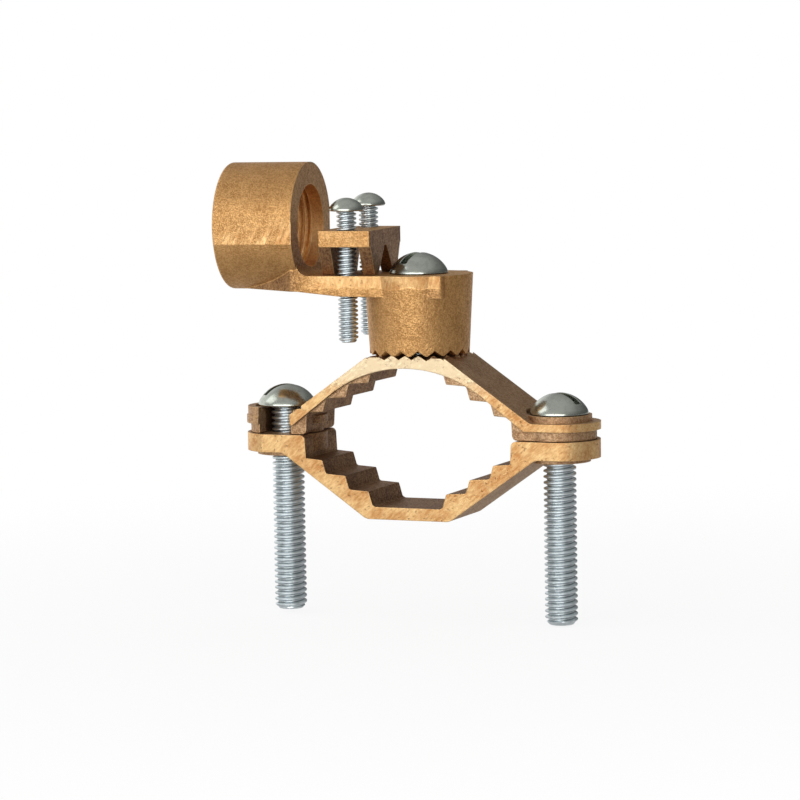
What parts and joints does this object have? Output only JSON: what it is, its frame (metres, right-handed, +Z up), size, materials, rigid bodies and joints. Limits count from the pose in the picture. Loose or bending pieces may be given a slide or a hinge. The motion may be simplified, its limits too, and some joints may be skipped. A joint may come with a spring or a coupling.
{
  "type": "pipe earthing clamp",
  "caption": "Screwed jaw earthing clamp for a round pipe, with a swivelling threaded conduit hub and a screw-down saddle for the earth wire.",
  "frame": {"origin": "on the clamped pipe's axis where it crosses the middle of the jaws, midway between the clamp screws and on the parting plane of the closed jaws", "axes": "+X to the right along the jaws, with the conduit hub on the -X side; +Y along the pipe, away from the side on which the open ear's slot opens; +Z up, from the lower jaw to the hub"},
  "size_m": [0.0946, 0.0329, 0.1113],
  "materials": {
    "cast_bronze": "as cast, satin, with ground bright faces",
    "zinc_steel": "bright zinc plate, glossy"
  },
  "bodies": {
    "lower_jaw": {"lower_jaw": "cast_bronze"},
    "upper_jaw": {"upper_jaw": "cast_bronze"},
    "hub_fitting": {"hub_fitting": "cast_bronze"},
    "saddle": {"saddle": "cast_bronze"},
    "clamp_screw_left": {"clamp_screw_left": "zinc_steel"},
    "clamp_screw_right": {"clamp_screw_right": "zinc_steel"},
    "boss_screw": {"boss_screw": "zinc_steel"},
    "saddle_screw_front": {"saddle_screw_front": "zinc_steel"},
    "saddle_screw_rear": {"saddle_screw_rear": "zinc_steel"}
  },
  "joints": [
    {"name": "jaw_open", "type": "slide", "parent": "lower_jaw", "child": "clamp_screw_right", "axis": [0, 0, 1], "range_m": [0, 0.03]},
    {"name": "left_screw_travel", "type": "slide", "parent": "lower_jaw", "child": "clamp_screw_left", "axis": [0, 0, 1], "range_m": [0, 0.03]},
    {"name": "jaw_swing", "type": "hinge", "parent": "clamp_screw_right", "child": "upper_jaw", "pos_m": [0.0358, 0, 0], "axis": [0, 0, 1], "range_deg": [-100, 0]},
    {"name": "hub_swivel", "type": "hinge", "parent": "upper_jaw", "child": "hub_fitting", "pos_m": [0, 0, 0.02], "axis": [0, 0, 1], "continuous": true},
    {"name": "boss_screw_travel", "type": "slide", "parent": "upper_jaw", "child": "boss_screw", "axis": [0, 0, 1], "range_m": [0, 0.003]},
    {"name": "saddle_lift", "type": "slide", "parent": "hub_fitting", "child": "saddle", "axis": [0, 0, 1], "range_m": [0, 0.0044]},
    {"name": "saddle_screw_front_travel", "type": "slide", "parent": "hub_fitting", "child": "saddle_screw_front", "axis": [0, 0, 1], "range_m": [0, 0.01]},
    {"name": "saddle_screw_rear_travel", "type": "slide", "parent": "hub_fitting", "child": "saddle_screw_rear", "axis": [0, 0, 1], "range_m": [0, 0.01]}
  ],
  "couplings": [
    {"joint": "left_screw_travel", "follows": "jaw_open", "ratio": 1}
  ]
}
